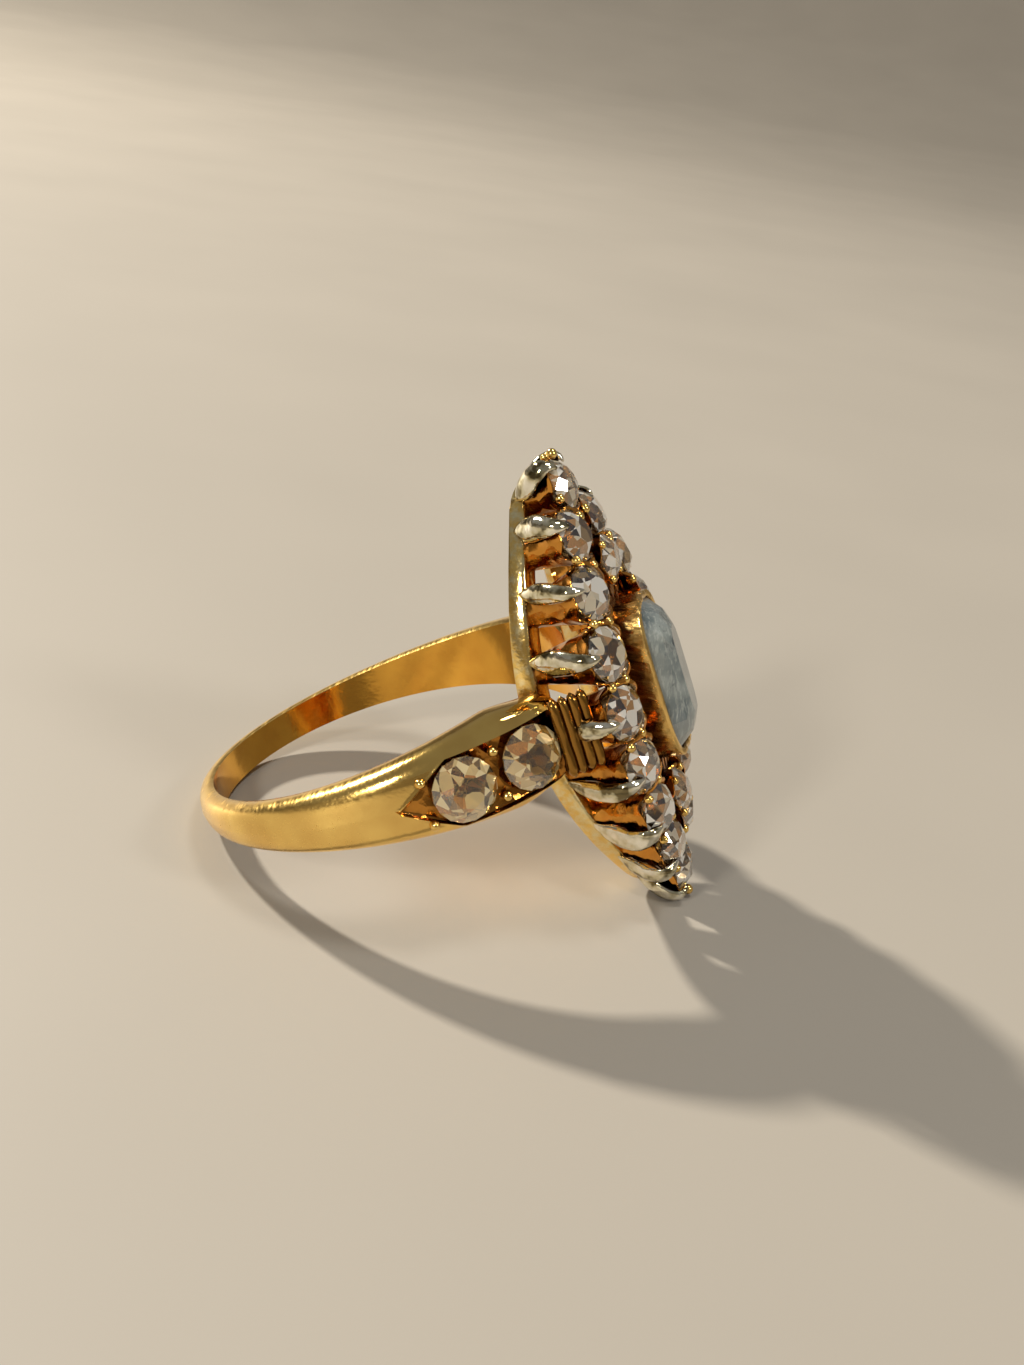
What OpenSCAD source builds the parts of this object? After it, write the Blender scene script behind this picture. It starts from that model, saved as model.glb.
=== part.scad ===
// Navette cluster ring, lying on its side as it rests by itself.
// The origin is the centre of the finger hole. +X runs from the shank's back to the head, +Z is up.
// Everything is drawn in the ring's own frame first: x towards the head, z along the finger, y across.

/* [Finger hole and shank] */
// Diameter of the finger hole
finger_d = 17; // [15:0.1:20]
// Width of the worn shank at its back
back_w = 1.5; // [1:0.1:3]
// Thickness of the worn shank at its back
back_t = 0.75; // [0.6:0.05:1.6]
// Width of the shank where it meets the head
shoulder_w = 4.8; // [4.2:0.1:6]
// Thickness that the shank's outer circle would reach at the head
shoulder_t = 2.15; // [1.9:0.05:2.6]

/* [Shoulder channels] */
// Diameter of the old mine cut stones in the shoulders
shoulder_stone_d = 2.7; // [2:0.1:2.8]
// Space between the two stones of a shoulder
shoulder_stone_gap = 0.4; // [0.2:0.05:0.8]
// Angle from the head to the farther stone of a shoulder
shoulder_stone_end = 56; // [54:0.5:60]
// Height of that stone's girdle above the finger
shoulder_girdle_h = 1.66; // [1.4:0.02:1.8]
// Depth of the channel's floor below the girdles
channel_depth = 0.3; // [0.15:0.05:0.45]
// Side clearance of the channel round its stones
channel_gap = 0.1; // [0.05:0.01:0.2]
// Length of the channel's pointed end past the last stone's centre
channel_point = 2.7; // [2:0.1:3.2]
// How far the channel lies below the middle of the shank's width
channel_drop = 0.15; // [0:0.05:0.3]

/* [Head] */
// Distance between the centres of the two tip stones
head_l = 18; // [16:0.5:21]
// Distance between the centres of the two middle border stones
head_w = 8.1; // [7.6:0.1:9.5]
// Height of the border girdles above the finger, at the middle
head_h = 3.05; // [2.8:0.05:3.6]
// How far the tips of the domed face lie below its middle
tip_drop = 0.8; // [0.4:0.05:1]
// Diameter of the border stones
border_stone_d = 2.3; // [2:0.05:2.4]
// How far the middle border stones lean outwards from their collets, which eases to nothing at the tips
splay = 16; // [0:1:20]
// Number of border stones, tips included; more than 16 of them would not fit round this head
border_count = 16; // [12:2:16]

/* [Base rail and collets] */
// Length of the base rail over its tips
rail_l = 18.9; // [17.5:0.1:21]
// Width of the base rail across the finger
rail_w = 8.6; // [8:0.1:9.6]
// Width of the rail's wire
rail_wire = 0.85; // [0.7:0.05:1.1]
// Thickness of the rail on the finger
rail_t = 0.75; // [0.6:0.05:1]
// Wall of the collets at their rims
collet_wall = 0.17; // [0.14:0.01:0.22]
// Diameter of the collets where they stand on the rail
collet_foot_d = 1.2; // [1:0.05:1.4]
// Wall of the collets at their feet
collet_foot_wall = 0.2; // [0.15:0.01:0.3]
// Greatest width of the leaf-shaped claws
claw_w = 1; // [0.7:0.05:1.3]
// How far the feet of the upper claws stand towards the upper tip, which eases to nothing at the shoulders
claw_slant = 1.1; // [0:0.1:1.2]
// Greatest thickness of the claws
claw_t = 0.46; // [0.36:0.02:0.6]
// Diameter of the gold grain at each tip
tip_grain_d = 0.5; // [0.4:0.05:0.7]

/* [Centre stone and bezel] */
// Length of the centre stone
centre_l = 6.6; // [5.5:0.1:7]
// Width of the centre stone
centre_w = 3.3; // [2.6:0.1:3.6]
// Height of its girdle above the border girdles
centre_rise = 1; // [0.8:0.05:1.4]
// Height of its domed crown
centre_crown = 0.95; // [0.6:0.05:1.1]
// Depth of its pavilion
centre_pavilion = 1.75; // [1.2:0.05:2]
// Thickness of the bezel's wall
bezel_wall = 0.3; // [0.2:0.02:0.4]
// Height of the bezel's rim above the girdle
bezel_lip = 0.16; // [0.1:0.02:0.25]

/* [Inner stones and top plate] */
// Diameter of the two stones between the bezel and the tips
inner_stone_d = 2; // [1.6:0.05:2.1]
// Distance of those stones from the middle of the head
inner_stone_l = 5.45; // [5.2:0.05:5.8]
// Height of their girdles above the border girdles beside them
inner_rise = 0.4; // [0.2:0.05:0.6]
// Height of their collets
inner_collet_h = 1.35; // [1.1:0.05:1.6]
// Diameter of their collets at the foot
inner_foot_d = 1.4; // [1.1:0.05:1.6]
// Diameter of the hole through the plate below each of them
inner_air_d = 0.84; // [0.5:0.02:1]
// Thickness of the pierced top plate
plate_t = 0.5; // [0.4:0.05:0.7]

/* [Fit] */
// Clearance between each stone and its setting
stone_gap = 0.04; // [0.02:0.01:0.08]

/* [Hidden] */
gold = [0.86, 0.62, 0.25];
silver = [0.72, 0.72, 0.66];
diamond = [0.93, 0.9, 0.86];
sapphire = [0.42, 0.48, 0.52];

finger_r = finger_d / 2;

// Old mine cut, as shares of the stone's diameter
cut_table = 0.5;
cut_star = 0.76;
cut_crown = 0.21;
cut_girdle = 0.03;
cut_pavilion = 0.4;
cut_lower = 0.55;
cut_culet = 0.12;

// The shank's half width grows with this power of a share that is 0 at the back and 1 at the head
taper_w = 1.5;
taper_steps = 24;
// Half of the shank's D section at the head: depth below its crest, then share of the half width
D_SECTION = [[0, 0], [0.11, 0.68], [0.35, 0.88], [0.92, 1]];
// The shank's edges are bevelled by a cone that cuts deeper towards the back
bevel_slope = 0.9;
bevel_shift = 1.6;
bevel_start = 0.45;
// The shank stops short of the head's middle, is cut off at this height above the finger,
// and narrows over its last stretch to the length of the ridges
shank_end_w = 8;
shank_end_h = 0.85;
shank_neck = 2;

// Foot of each collet: its navette is inside the rail's wire
foot_inset_w = 0.8;
foot_inset_l = 1;
dome_power = 2.6;
collet_rise = 0.05;
collet_floor = 0.3;
// The rail's wire is this much wider along the finger than across it
rail_tip_share = 1.6;
// Tip grain: outwards from the stone's edge, and up along its axis
tip_grain_out = 0.08;
tip_grain_up = 0.34;
// Width of the stem under it, as a share of its own
tip_stem_share = 0.7;
// Height of the step that a girdle rests on
seat_step = 0.1;
// Height that is cleared above a collet's slanting rim
rim_clear = 1.5;

// Leaf claw up to the girdle. Shares: of the collet's height, of the way out from its foot to its rim,
// of the claw's width and of its thickness
CLAW_STEM = [
    [-0.95, 0.05, 0.22, 0.6], [-0.8, 0.36, 0.62, 0.9], [-0.58, 0.72, 0.96, 1],
    [-0.32, 1.1, 1, 1], [-0.1, 1.22, 0.9, 0.95]
];
// Claw tip: height above the girdle and distance in from the rim, then the same two shares
CLAW_TIP = [[0.08, -0.12, 0.84, 0.9], [0.26, 0.04, 0.7, 0.76], [0.36, 0.34, 0.3, 0.42]];
// The stones at the tips have two claws each, turned this far to either side
claw_tip_turn = 43;
claw_sides = 8;

// How far behind the finger hole's centre the shoulder's flatter arc is centred
shoulder_flat = 5;
// Length of the channel's straight sides past the last stone's centre
channel_straight = 0.4;

// Ridges that step up from each shoulder to the head
ridge_r = 0.24;
ridge_l = 3.4;
ridge_count = 4;
RIDGE_FIRST = [9.2, 5.5];
RIDGE_LAST = [10.25, 4.85];

cushion_power = 3.4;
centre_facets = 16;
bezel_facets = 48;
bezel_depth = 1.7;
bezel_ledge = 0.3;
plate_steps = 28;
plate_inset = 0.25;
plate_drop = 0.12;
plate_end = 0.1;

// Vector helpers
function unit(v) = v / norm(v);
function across(v, n) = unit(v - (v * n) * n);
function sgn(x) = x < 0 ? -1 : 1;
function clamp(x) = max(0, min(1, x));
function spow(x, p) = sgn(x) * pow(abs(x), p);
// Turns a point about z, then leans it about y
function turned(p, turn, lean) = let (
        x = p[0] * cos(turn) - p[1] * sin(turn),
        y = p[0] * sin(turn) + p[1] * cos(turn)
    ) [x * cos(lean) + p[2] * sin(lean), y, p[2] * cos(lean) - x * sin(lean)];

// A navette is two equal arcs. Point i of count, from the upper tip down the near side and up the far side
function nav_rho(hl, hw) = (hl * hl + hw * hw) / (2 * hw);
function nav_step(i) = i <= border_count / 2 ? i : border_count - i;
function nav_side(i) = i <= border_count / 2 ? -1 : 1;
function nav_angle(hl, hw, i) = asin(hl / nav_rho(hl, hw)) * (1 - nav_step(i) * 4 / border_count);
function nav_point(hl, hw, i) = let (rho = nav_rho(hl, hw), a = nav_angle(hl, hw, i))
    [nav_side(i) * (rho * cos(a) - rho + hw), rho * sin(a)];
function nav_half_w(hl, hw, l) = let (rho = nav_rho(hl, hw)) sqrt(rho * rho - l * l) - rho + hw;

// Border stones: centre of the girdle, foot on the rail, axis and outward direction
function face_r(l) = finger_r + head_h - tip_drop * pow(abs(l) / (head_l / 2), dome_power);
function is_tip(i) = i % (border_count / 2) == 0;
function girdle_at(i) = let (p = nav_point(head_l / 2, head_w / 2, i)) [face_r(p[1]), p[0], p[1]];
function foot_at(i) = let (
        p = nav_point(rail_l / 2 - foot_inset_l, rail_w / 2 - foot_inset_w, i),
        r = finger_r + rail_t / 2
    ) [sqrt(r * r - p[0] * p[0]), p[0], p[1]];
function axis_at(i) = unit(girdle_at(i) - foot_at(i));
function outward_at(i) = let (
        a = nav_angle(head_l / 2, head_w / 2, i),
        o = is_tip(i) ? [0, 0, sgn(a)] : [0, nav_side(i) * cos(a), sin(a)]
    ) across(o, axis_at(i));
function splay_at(i) = splay * (1 - pow(girdle_at(i)[2] / (head_l / 2), 2));
function inner_at(i) = let (l = (i == 1 ? 1 : -1) * inner_stone_l) [face_r(l) + inner_rise, 0, l];
function centre_at() = [finger_r + head_h + centre_rise, 0, 0];

// Shoulder stones: 1 and 2 on the near side, 3 and 4 on the far side
shoulder_arc_r = finger_r + shoulder_girdle_h + shoulder_flat;
shoulder_pitch = 2 * asin((shoulder_stone_d + shoulder_stone_gap) / 2 / shoulder_arc_r);
function shoulder_side(i) = i <= 2 ? -1 : 1;

// How the ring lies: the tilt at which a plane under it touches both the head and the back
BACK_POINTS = [
    [-(finger_r + bevel_start * back_t), -back_w / 2],
    [-(finger_r + back_t), bevel_slope * (1 - bevel_start) * back_t - back_w / 2]
];
tip_grain_l = border_stone_d / 2 + tip_grain_out;
function tip_grain_at(s) = let (i = s > 0 ? 0 : border_count / 2)
    girdle_at(i) + outward_at(i) * tip_grain_l + axis_at(i) * tip_grain_up;
HEAD_POINTS = [
    [finger_r, -rail_l / 2, 0],
    [tip_grain_at(-1)[0], tip_grain_at(-1)[2], tip_grain_d / 2]
];
function lean(b, f) = let (dx = f[0] - b[0], dz = f[1] - b[1])
    atan2(-dz, dx) + asin(f[2] / norm([dx, dz]));
rest_tilt = min([for (b = BACK_POINTS) max([for (f = HEAD_POINTS) lean(b, f)])]);

module as_it_rests() {
    rotate([0, -rest_tilt, 0]) children();
}

// Puts children's z axis along n at point p, with their x axis along x
module stand_on(p, n, x) {
    y = cross(n, x);
    multmatrix([
        [x[0], y[0], n[0], p[0]],
        [x[1], y[1], n[1], p[1]],
        [x[2], y[2], n[2], p[2]],
        [0, 0, 0, 1]
    ]) children();
}

module on_border(i) {
    stand_on(girdle_at(i), axis_at(i), outward_at(i)) children();
}

// A border stone's own frame, which leans outwards from its collet's
module on_stone(i) {
    on_border(i) rotate([0, splay_at(i), 0]) children();
}

module on_inner(i) {
    translate(inner_at(i)) rotate([0, 90, 0]) children();
}

// Turns about the middle of a shoulder's arc, which is flatter than the finger hole
module on_shoulder_arc(side, turn) {
    rotate([0, 0, side * shoulder_stone_end]) translate([-shoulder_flat, 0, -channel_drop])
        rotate([0, 0, -side * turn]) children();
}

module on_shoulder(i) {
    on_shoulder_arc(shoulder_side(i), i % 2 == 0 ? 0 : shoulder_pitch)
        translate([shoulder_arc_r, 0, 0]) rotate([0, 90, 0]) children();
}

// Rows of equal rings of points joined into one closed skin, with flat ends
function ring_faces(rows, n) = [
    for (j = [0:rows - 2]) for (k = [0:n - 1])
        each let (a = j * n + k, b = j * n + (k + 1) % n) [[a, b + n, b], [a, a + n, b + n]]
];
module skin(rings) {
    rows = len(rings);
    n = len(rings[0]);
    polyhedron(
        points = [for (r = rings) each r],
        faces = concat(
            ring_faces(rows, n),
            [[for (k = [0:n - 1]) k]],
            [[for (k = [n - 1:-1:0]) (rows - 1) * n + k]]
        )
    );
}

// Old mine cut stone: table, 8 stars, 8 kites, 16 upper and 16 lower halves, 8 mains and an open culet
module old_mine(d) {
    r = d / 2;
    zt = cut_crown * d;
    zg = -cut_girdle * d;
    zc = zg - cut_pavilion * d;
    rt = cut_table * r;
    rm = cut_star * r;
    rp = cut_lower * r;
    rc = cut_culet * r;
    zm = zt * (r - rm * cos(22.5)) / (r - rt);
    zp = zg + (zc - zg) * (r - rp * cos(22.5)) / (r - rc);
    function circle_of(n, q, z, turn) = [for (k = [0:n - 1]) let (a = turn + k * 360 / n)
        [q * cos(a), q * sin(a), z]];
    table = [for (k = [0:7]) k];
    star = [for (k = [0:7]) 8 + k];
    up = [for (k = [0:15]) 16 + k];
    low = [for (k = [0:15]) 32 + k];
    main = [for (k = [0:7]) 48 + k];
    culet = [for (k = [0:7]) 56 + k];
    polyhedron(
        points = concat(
            circle_of(8, rt, zt, 0), circle_of(8, rm, zm, 22.5),
            circle_of(16, r, 0, 0), circle_of(16, r, zg, 0),
            circle_of(8, rp, zp, 22.5), circle_of(8, rc, zc, 0)
        ),
        faces = concat(
            [[for (k = [7:-1:0]) table[k]]],
            [for (k = [0:7]) let (m = (k + 1) % 8) [table[k], table[m], star[k]]],
            [for (k = [0:7]) let (m = (k + 7) % 8) [table[k], star[k], up[2 * k], star[m]]],
            [for (k = [0:7]) [star[k], up[2 * k + 1], up[2 * k]]],
            [for (k = [0:7]) [star[k], up[(2 * k + 2) % 16], up[2 * k + 1]]],
            [for (k = [0:15]) let (m = (k + 1) % 16) [up[k], up[m], low[m], low[k]]],
            [for (k = [0:7]) [low[2 * k], low[2 * k + 1], main[k]]],
            [for (k = [0:7]) [low[2 * k + 1], low[(2 * k + 2) % 16], main[k]]],
            [for (k = [0:7]) let (m = (k + 7) % 8) [low[2 * k], main[k], culet[k], main[m]]],
            [for (k = [0:7]) let (m = (k + 1) % 8) [main[k], culet[m], culet[k]]],
            [culet]
        )
    );
}

// Room that a round stone takes in the metal: down to its culet, or deeper where it stands over a hole
function culet_z(d) = -(cut_girdle + cut_pavilion) * d - stone_gap;
function culet_r(d) = cut_culet * d / 2 + 2 * stone_gap;
module seat(d, floor_z, floor_r) {
    r = d / 2 + stone_gap;
    zt = cut_crown * d + stone_gap;
    zg = -cut_girdle * d - stone_gap;
    rotate_extrude($fn = 48)
        polygon([
            [0, floor_z], [floor_r, floor_z], [r - seat_step, zg - seat_step], [r, zg], [r, stone_gap],
            [cut_table * d / 2 + 2 * stone_gap, zt], [0, zt]
        ]);
}

// Elongated cushion outline in the y-z plane
function cushion(hl, hw, count, turn) = [
    for (k = [0:count - 1]) let (a = (k + turn) * 360 / count)
        [hw * spow(cos(a), 2 / cushion_power), hl * spow(sin(a), 2 / cushion_power)]
];

// Centre stone: rings of facets from the table to the keel, each turned half a step from the last
CENTRE_RINGS = [
    // share of the half length, share of the half width, share of crown (+) or pavilion (-), turn
    [0.6, 0.36, 1, 0],
    [0.82, 0.72, 0.68, 0.5],
    [1, 1, 0, 0],
    [1, 1, -0.06, 0],
    [0.8, 0.66, -0.5, 0.5],
    [0.5, 0.12, -1, 0]
];
module centre_cut(gap) {
    n = centre_facets;
    rows = len(CENTRE_RINGS);
    rings = [for (c = CENTRE_RINGS) let (
            o = cushion(c[0] * centre_l / 2 + gap, c[1] * centre_w / 2 + gap, n, c[3]),
            h = c[2] > 0 ? c[2] * centre_crown + gap : c[2] * centre_pavilion - (c[2] == 0 ? -gap : gap)
        ) [for (p = o) [h, p[0], p[1]]]];
    function strip(j) = let (a = CENTRE_RINGS[j][3], b = CENTRE_RINGS[j + 1][3]) [
        for (k = [0:n - 1]) let (m = (k + 1) % n, l = (k + n - 1) % n, p = j * n, q = (j + 1) * n)
            each a == b ? [[p + k, p + m, q + m], [p + k, q + m, q + k]]
                : a < b ? [[p + k, p + m, q + k], [p + k, q + k, q + l]]
                : [[p + k, p + m, q + m], [p + k, q + m, q + k]]
    ];
    polyhedron(
        points = [for (r = rings) each r],
        faces = concat(
            [[for (k = [n - 1:-1:0]) k]],
            [for (j = [0:rows - 2]) each strip(j)],
            [[for (k = [0:n - 1]) (rows - 1) * n + k]]
        )
    );
}

// Shank: its outer circle lies off the finger hole's centre, and its sides open towards the head
module shank() {
    outer_r = finger_r + (back_t + shoulder_t) / 2;
    top = finger_r + shank_end_h;
    half = [for (k = [0:taper_steps]) let (
            x = -finger_d + (top + finger_d) * k / taper_steps,
            w = (back_w + (shoulder_w - back_w) * pow(clamp((1 + x / outer_r) / 2), taper_w)) / 2,
            neck = clamp((x - top + shank_neck) / shank_neck)
        ) [x, w + (ridge_l / 2 - w) * neck]];
    edge = back_w / 2 + bevel_slope * (finger_r + bevel_start * back_t + bevel_shift);
    color(gold) difference() {
        intersection() {
            translate([(shoulder_t - back_t) / 2, 0, 0]) rotate_extrude($fn = 120)
                polygon(concat(
                    [[0, -shoulder_w / 2]],
                    [for (k = [3:-1:0]) [outer_r - D_SECTION[k][0], -D_SECTION[k][1] * shoulder_w / 2]],
                    [for (k = [1:3]) [outer_r - D_SECTION[k][0], D_SECTION[k][1] * shoulder_w / 2]],
                    [[0, shoulder_w / 2]]
                ));
            rotate([90, 0, 0]) linear_extrude(height = 2 * finger_d, center = true)
                polygon(concat(half, [for (k = [taper_steps:-1:0]) [half[k][0], -half[k][1]]]));
            translate([bevel_shift, 0, 0]) rotate_extrude($fn = 120)
                polygon([[0, -edge], [edge / bevel_slope, 0], [0, edge]]);
        }
        translate([0, -shank_end_w / 2, -shoulder_w]) cube([finger_d, shank_end_w, 2 * shoulder_w]);
    }
}

// Stepped ridges between a shoulder's last stone and the head
module ridges() {
    color(gold) for (side = [-1, 1], k = [0:ridge_count - 1]) {
        p = RIDGE_FIRST + (RIDGE_LAST - RIDGE_FIRST) * k / (ridge_count - 1);
        translate([p[0], side * p[1], 0]) cylinder(h = ridge_l, r = ridge_r, center = true, $fn = 24);
    }
}

// Pointed channel sunk in each shoulder for its two stones
module channel(side) {
    half = shoulder_stone_d / 2 + channel_gap;
    reach = shoulder_arc_r * sin(shoulder_pitch / 2);
    difference() {
        on_shoulder_arc(side, shoulder_pitch / 2) rotate([0, 90, 0]) rotate([0, 0, side > 0 ? 0 : 180])
            linear_extrude(height = 2 * shoulder_arc_r)
                polygon([
                    [-half, -reach - half], [half, -reach - half], [half, reach + channel_straight],
                    [0, reach + channel_point], [-half, reach + channel_straight]
                ]);
        on_shoulder_arc(side, 0)
            cylinder(h = 4 * shoulder_w, r = shoulder_arc_r - channel_depth, center = true, $fn = 96);
    }
}

// Navette outline of two arcs, drawn in the y-z plane and pushed along x
module navette(hl, hw) {
    rho = nav_rho(hl, hw);
    intersection() {
        translate([rho - hw, 0]) circle(r = rho, $fn = 180);
        translate([hw - rho, 0]) circle(r = rho, $fn = 180);
    }
}

// Base rail: a navette wire that follows the finger
module rail() {
    color(gold) intersection() {
        translate([finger_r / 2, 0, 0]) rotate([90, 0, 90])
            linear_extrude(height = finger_r) difference() {
                navette(rail_l / 2, rail_w / 2);
                navette(rail_l / 2 - rail_wire * rail_tip_share, rail_w / 2 - rail_wire);
            }
        cylinder(h = rail_l + 2, r = finger_r + rail_t, center = true, $fn = 96);
    }
}

// Tapered collets that stand on the rail, cut off aslant as their stones lean
module collets() {
    rim = border_stone_d / 2 + collet_wall;
    foot = collet_foot_d / 2;
    color(gold) for (i = [0:border_count - 1]) {
        h = norm(girdle_at(i) - foot_at(i));
        rise = collet_rise + 2 * rim * sin(splay_at(i));
        difference() {
            on_border(i) translate([0, 0, -h])
                cylinder(h = h + rise, r1 = foot, r2 = foot + (rim - foot) * (h + rise) / h, $fn = 48);
            on_stone(i) translate([0, 0, collet_rise]) cylinder(h = rim_clear, r = 2 * rim, $fn = 48);
        }
    }
}

// Hollow inside a collet, from its floor up to the step under its stone
module collet_hollow(i) {
    bottom = -norm(girdle_at(i) - foot_at(i)) * (1 - collet_floor);
    top = -border_stone_d * (sin(splay_at(i)) / 2 + cut_girdle) - seat_step;
    on_border(i) translate([0, 0, bottom])
        cylinder(
            h = top - bottom, r1 = collet_foot_d / 2 - collet_foot_wall,
            r2 = border_stone_d / 2 - 2 * seat_step, $fn = 48
        );
}

// Leaf-shaped claw on a border stone, turned from its outer side
module claw(i, turn) {
    h = norm(girdle_at(i) - foot_at(i));
    rim = border_stone_d / 2 + collet_wall;
    foot = collet_foot_d / 2;
    drop = rim * sin(splay_at(i)) * cos(turn);
    slant = is_tip(i) ? 0 : nav_side(i) * claw_slant * max(0, cos(360 * nav_step(i) / border_count));
    function ring(x, y, z, w, t, lean) = [for (k = [0:claw_sides - 1]) let (a = k * 360 / claw_sides)
        turned([x + t / 2 * cos(a), y + w / 2 * sin(a), z], turn, lean)];
    on_border(i) skin(concat(
        [for (c = CLAW_STEM) ring(
            foot + (rim - foot) * c[1], -slant * c[0], h * c[0] - drop * (1 + c[0]),
            claw_w * c[2], claw_t * c[3], 0
        )],
        [for (c = CLAW_TIP) ring(rim - c[1], 0, c[0], claw_w * c[2], claw_t * c[3], splay_at(i))]
    ));
}
module claws() {
    color(silver) for (i = [0:border_count - 1], turn = is_tip(i) ? [-claw_tip_turn, claw_tip_turn] : [0])
        claw(i, turn);
}

// Gold grain at each tip, on a short stem that stands on the collet's rim
module tip_grains() {
    color(gold) for (s = [-1, 1]) {
        translate(tip_grain_at(s)) sphere(d = tip_grain_d, $fn = 32);
        on_border(s > 0 ? 0 : border_count / 2) translate([tip_grain_l, 0, -seat_step])
            cylinder(h = seat_step + tip_grain_up, d = tip_grain_d * tip_stem_share, $fn = 32);
    }
}

// Pierced top plate that joins the collets to the bezel and follows the domed face
module plate() {
    hl = head_l / 2 - plate_inset;
    hw = head_w / 2 - plate_inset;
    color(gold) skin([
        for (k = [0:plate_steps]) let (
            l = -hl + 2 * hl * k / plate_steps,
            w = max(nav_half_w(hl, hw, l), plate_end),
            top = face_r(l) - plate_drop
        ) [[top, -w, l], [top, w, l], [top - plate_t, w, l], [top - plate_t, -w, l]]
    ]);
}

module inner_collets() {
    color(gold) for (i = [1:2]) on_inner(i)
        translate([0, 0, -inner_collet_h])
            cylinder(
                h = inner_collet_h + collet_rise, r1 = inner_foot_d / 2,
                r2 = inner_stone_d / 2 + collet_wall, $fn = 48
            );
}

// Tall bezel of the centre stone
module bezel() {
    top = centre_at()[0] + bezel_lip;
    color(gold) translate([top - bezel_lip - bezel_depth, 0, 0]) rotate([90, 0, 90])
        linear_extrude(height = bezel_depth + bezel_lip) difference() {
            polygon(cushion(centre_l / 2 + bezel_wall, centre_w / 2 + bezel_wall, bezel_facets, 0.5));
            polygon(cushion(centre_l / 2 - bezel_ledge, centre_w / 2 - bezel_ledge, bezel_facets, 0.5));
        }
}

// All the soldered metal, with the finger hole, the channels and the stones' seats cut from it
module mount() {
    color(gold) as_it_rests() difference() {
        union() {
            shank();
            ridges();
            rail();
            collets();
            claws();
            tip_grains();
            plate();
            inner_collets();
            bezel();
        }
        cylinder(h = rail_l + 4, r = finger_r, center = true, $fn = 120);
        for (side = [-1, 1]) channel(side);
        for (i = [0:border_count - 1]) {
            collet_hollow(i);
            on_stone(i) seat(border_stone_d, culet_z(border_stone_d), culet_r(border_stone_d));
        }
        for (i = [1:2]) on_inner(i) seat(inner_stone_d, -inner_collet_h - plate_t, inner_air_d / 2);
        for (i = [1:4])
            on_shoulder(i) seat(shoulder_stone_d, culet_z(shoulder_stone_d), culet_r(shoulder_stone_d));
        translate(centre_at()) centre_cut(stone_gap);
    }
}

module centre_stone() {
    color(sapphire) as_it_rests() translate(centre_at()) centre_cut(0);
}

module border_stone(i) {
    color(diamond) as_it_rests() on_stone(i) old_mine(border_stone_d);
}

module inner_stone(i) {
    color(diamond) as_it_rests() on_inner(i) old_mine(inner_stone_d);
}

module shoulder_stone(i) {
    color(diamond) as_it_rests() on_shoulder(i) old_mine(shoulder_stone_d);
}

mount();
centre_stone();
for (i = [1:border_count]) border_stone(i - 1);
for (i = [1:2]) inner_stone(i);
for (i = [1:4]) shoulder_stone(i);
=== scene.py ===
import math

import bpy
import numpy as np
from mathutils import Matrix, Vector, noise


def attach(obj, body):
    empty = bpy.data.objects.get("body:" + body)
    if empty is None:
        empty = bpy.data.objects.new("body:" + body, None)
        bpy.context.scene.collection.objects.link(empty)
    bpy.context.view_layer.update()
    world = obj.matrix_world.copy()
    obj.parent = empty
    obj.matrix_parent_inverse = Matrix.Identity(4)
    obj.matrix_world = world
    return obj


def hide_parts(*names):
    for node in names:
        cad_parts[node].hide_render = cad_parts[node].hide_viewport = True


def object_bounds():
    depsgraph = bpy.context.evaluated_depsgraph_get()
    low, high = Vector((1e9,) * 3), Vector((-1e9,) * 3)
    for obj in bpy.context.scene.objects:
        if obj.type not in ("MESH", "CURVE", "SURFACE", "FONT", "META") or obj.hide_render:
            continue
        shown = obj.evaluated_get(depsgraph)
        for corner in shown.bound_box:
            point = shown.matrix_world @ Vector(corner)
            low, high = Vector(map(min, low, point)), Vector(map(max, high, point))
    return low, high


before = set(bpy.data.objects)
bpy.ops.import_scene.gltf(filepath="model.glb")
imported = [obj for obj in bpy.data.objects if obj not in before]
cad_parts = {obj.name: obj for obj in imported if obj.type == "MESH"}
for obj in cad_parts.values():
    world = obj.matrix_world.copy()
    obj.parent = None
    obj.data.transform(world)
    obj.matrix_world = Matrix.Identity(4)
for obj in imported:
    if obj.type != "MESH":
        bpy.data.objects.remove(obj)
cad_low, cad_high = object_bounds()

# Unless a seed is set, Blender takes that of noise_vector from the clock, and each run gives other shapes.
NOISE_SEED = 7
noise.seed_set(NOISE_SEED)

# Sizes of the CAD part in millimetres, in the ring's own frame: x to the head, y across, z along the finger.
MM = 0.001
TILT = math.radians(26.6476)
FINGER_R = 8.5
HEAD_L, HEAD_W, HEAD_H, TIP_DROP = 18.0, 8.1, 3.05, 0.8
STONE_D, COUNT = 2.3, 16
RAIL_L, RAIL_W, RAIL_WIRE, RAIL_T = 18.9, 8.6, 0.85, 0.75
WALL, FOOT_D = 0.17, 1.2
CENTRE_L, CENTRE_W, CENTRE_RISE = 6.6, 3.3, 1.0
BACK_W, BACK_T, SHOULDER_W, SHOULDER_T = 1.5, 0.75, 4.8, 2.15
ARC_FLAT, ARC_ANGLE, ARC_H = 5.0, 56.0, 1.66
SHOULDER_STONE_D, SHOULDER_GAP = 2.7, 0.4
INNER_D, INNER_L, INNER_RISE = 2.0, 5.45, 0.4
SPLAY, CLAW_SLANT = 16.0, 1.1
DOME_POWER = 2.6
# How far the collets' feet stand inside the rail's outline, along and across the head
FOOT_INSET_L, FOOT_INSET_W = 1.0, 0.8


def V(*a):
    return np.array(a, float)


def unit(v):
    return v / np.linalg.norm(v)


def turns(n):
    """Angles of n equal steps round a full turn."""
    return [2 * math.pi * k / n for k in range(n)]


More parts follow.
